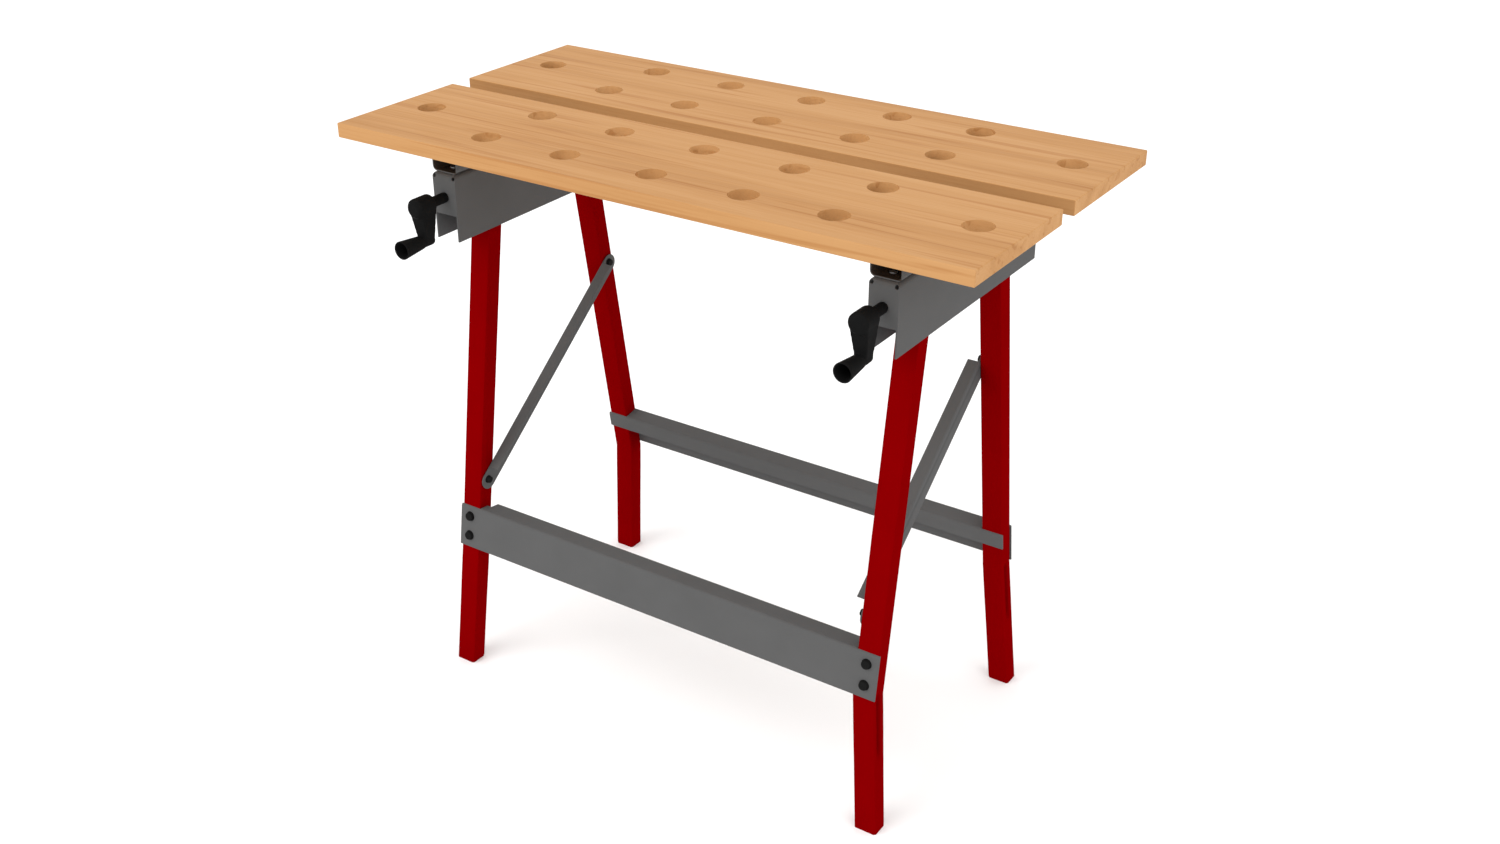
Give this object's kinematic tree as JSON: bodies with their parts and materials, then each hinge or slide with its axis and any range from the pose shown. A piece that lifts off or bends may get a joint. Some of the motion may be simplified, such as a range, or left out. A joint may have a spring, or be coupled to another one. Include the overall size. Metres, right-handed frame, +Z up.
{
  "type": "folding clamping workbench",
  "caption": "Folding workbench with two slotted wooden jaws over vice housings, twin cranked lead screws, splayed tubular legs, cross members and diagonal braces.",
  "frame": {"origin": "on the floor, under the middle of the object's length and depth, cranks included", "axes": "+X along the jaws to the right, +Y to the rear away from the cranks, +Z up"},
  "size_m": [0.89, 0.4935, 0.7895],
  "materials": {
    "beech_board": "lightly sealed bonded board with a fine straight grain along its length",
    "grey_steel": "satin grey powder coat on folded sheet",
    "red_steel": "satin dark red powder coat on tube",
    "black_plastic": "fine-grained black moulding",
    "black_bolt": "black oxide on steel heads",
    "zinc_steel": "bright zinc plating, lightly oiled"
  },
  "bodies": {
    "top_frame": {"front_jaw_board": "beech_board", "left_vice_housing": "grey_steel", "right_vice_housing": "grey_steel", "front_left_jaw_carrier": "grey_steel", "front_right_jaw_carrier": "grey_steel", "front_jaw_screws": "zinc_steel", "front_carrier_rivets": "zinc_steel", "left_screw_bush": "black_plastic", "right_screw_bush": "black_plastic", "front_leg_pivot_pins": "grey_steel", "rear_leg_pivot_pins": "grey_steel", "leg_pivot_washers": "zinc_steel"},
    "rear_jaw": {"rear_jaw_board": "beech_board", "rear_left_jaw_carrier": "grey_steel", "rear_right_jaw_carrier": "grey_steel", "rear_jaw_screws": "zinc_steel", "left_slide_bar": "zinc_steel", "right_slide_bar": "zinc_steel", "left_jaw_nut": "zinc_steel", "right_jaw_nut": "zinc_steel", "slide_bar_bolts": "zinc_steel", "jaw_nut_screws": "zinc_steel"},
    "left_crank": {"left_crank_arm": "black_plastic", "left_lead_screw": "zinc_steel", "left_grip_axle": "zinc_steel", "left_screw_collar": "zinc_steel"},
    "right_crank": {"right_crank_arm": "black_plastic", "right_lead_screw": "zinc_steel", "right_grip_axle": "zinc_steel", "right_screw_collar": "zinc_steel"},
    "left_grip": {"left_crank_grip": "black_plastic"},
    "right_grip": {"right_crank_grip": "black_plastic"},
    "front_leg_frame": {"front_left_leg": "red_steel", "front_right_leg": "red_steel", "front_foot_plugs": "black_plastic", "front_cross_member": "grey_steel", "front_member_bolts": "black_bolt", "front_rivet_nuts": "zinc_steel"},
    "rear_leg_frame": {"rear_left_leg": "red_steel", "rear_right_leg": "red_steel", "rear_foot_plugs": "black_plastic", "rear_cross_member": "grey_steel", "rear_member_bolts": "black_bolt", "rear_rivet_nuts": "zinc_steel", "brace_pivot_bolts": "black_bolt"},
    "left_brace_link": {"left_brace": "grey_steel", "left_brace_release_bolt": "black_bolt"},
    "right_brace_link": {"right_brace": "grey_steel", "right_brace_release_bolt": "black_bolt"}
  },
  "joints": [
    {"name": "front_leg_fold", "type": "hinge", "parent": "top_frame", "child": "front_leg_frame", "pos_m": [0, -0.0882, 0.66], "axis": [1, 0, 0], "range_deg": [0, 98.9]},
    {"name": "rear_leg_fold", "type": "hinge", "parent": "top_frame", "child": "rear_leg_frame", "pos_m": [0, 0.1068, 0.712], "axis": [1, 0, 0], "range_deg": [0, 80.8]},
    {"name": "left_brace_swing", "type": "hinge", "parent": "rear_leg_frame", "child": "left_brace_link", "pos_m": [0, 0.13851, 0.5175], "axis": [1, 0, 0], "range_deg": [0, 54]},
    {"name": "right_brace_swing", "type": "hinge", "parent": "rear_leg_frame", "child": "right_brace_link", "pos_m": [0, 0.13851, 0.5175], "axis": [1, 0, 0], "range_deg": [0, 54]},
    {"name": "left_crank_turn", "type": "hinge", "parent": "top_frame", "child": "left_crank", "pos_m": [-0.3165, -0.1628, 0.7022], "axis": [0, 1, 0], "range_deg": [-8820, 2898]},
    {"name": "right_crank_turn", "type": "hinge", "parent": "top_frame", "child": "right_crank", "pos_m": [0.3165, -0.1628, 0.7022], "axis": [0, 1, 0], "range_deg": [-8820, 2898]},
    {"name": "rear_jaw_slide", "type": "slide", "parent": "top_frame", "child": "rear_jaw", "axis": [0, -1, 0], "range_m": [-0.098, 0.0322]},
    {"name": "left_grip_spin", "type": "hinge", "parent": "left_crank", "child": "left_grip", "pos_m": [-0.3165, -0.228, 0.6572], "axis": [0, 1, 0], "continuous": true},
    {"name": "right_grip_spin", "type": "hinge", "parent": "right_crank", "child": "right_grip", "pos_m": [0.3165, -0.228, 0.6572], "axis": [0, 1, 0], "continuous": true}
  ],
  "couplings": [
    {"joint": "rear_leg_fold", "follows": "front_leg_fold", "ratio": 0.8164},
    {"joint": "left_brace_swing", "follows": "front_leg_fold", "ratio": 0.546},
    {"joint": "right_brace_swing", "follows": "front_leg_fold", "ratio": 0.546},
    {"joint": "left_crank_turn", "follows": "rear_jaw_slide", "rad_per_m": 1570.8},
    {"joint": "right_crank_turn", "follows": "rear_jaw_slide", "rad_per_m": 1570.8}
  ]
}
